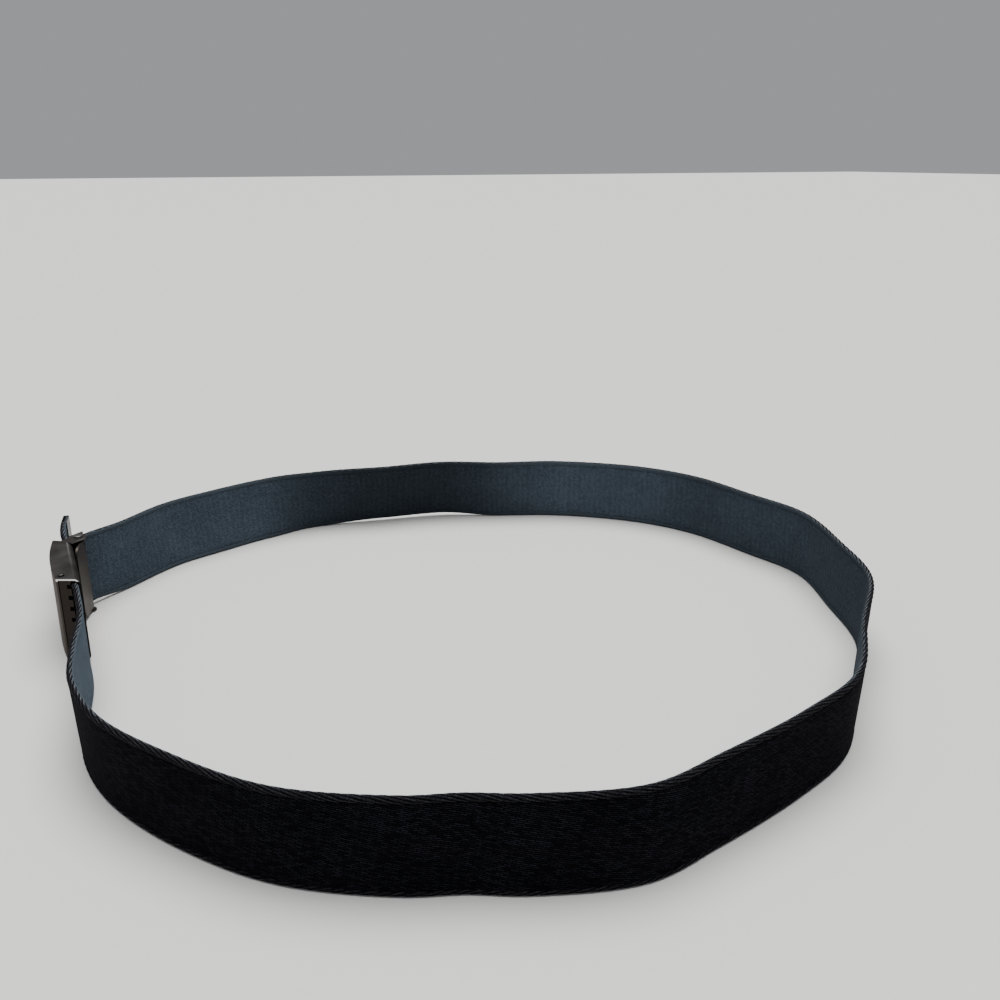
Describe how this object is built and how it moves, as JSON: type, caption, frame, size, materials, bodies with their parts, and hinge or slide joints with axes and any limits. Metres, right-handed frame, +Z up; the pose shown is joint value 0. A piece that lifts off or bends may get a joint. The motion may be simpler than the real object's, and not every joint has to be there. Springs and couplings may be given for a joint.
{
  "type": "elastic stretch belt",
  "caption": "Closed loop of stretch webbing with a bowed sheet-metal clamp buckle and a metal-tipped tail, standing on its lower edge.",
  "frame": {"origin": "middle of the bounding box, on the surface that the belt stands on", "axes": "+Z up, across the width of the webbing; +X along the buckle from its far end to its mouth; +Y from the buckle through the waist opening to the back of the loop, so the buckle faces -Y"},
  "size_m": [0.396, 0.406, 0.0447],
  "materials": {
    "webbing": "woven stretch webbing, black outside and slate grey inside",
    "tip_metal": "satin folded sheet",
    "gunmetal": "satin gunmetal plate",
    "dark_gunmetal": "dark satin gunmetal",
    "pin_steel": "turned steel"
  },
  "bodies": {
    "root": {"webbing_strap": "webbing", "tail_tip": "tip_metal", "buckle_body": "gunmetal", "locking_bar": "dark_gunmetal", "locking_pin": "pin_steel", "hinge_pin": "pin_steel", "clamp_lever": "dark_gunmetal", "clamp_frame": "gunmetal"}
  },
  "joints": []
}
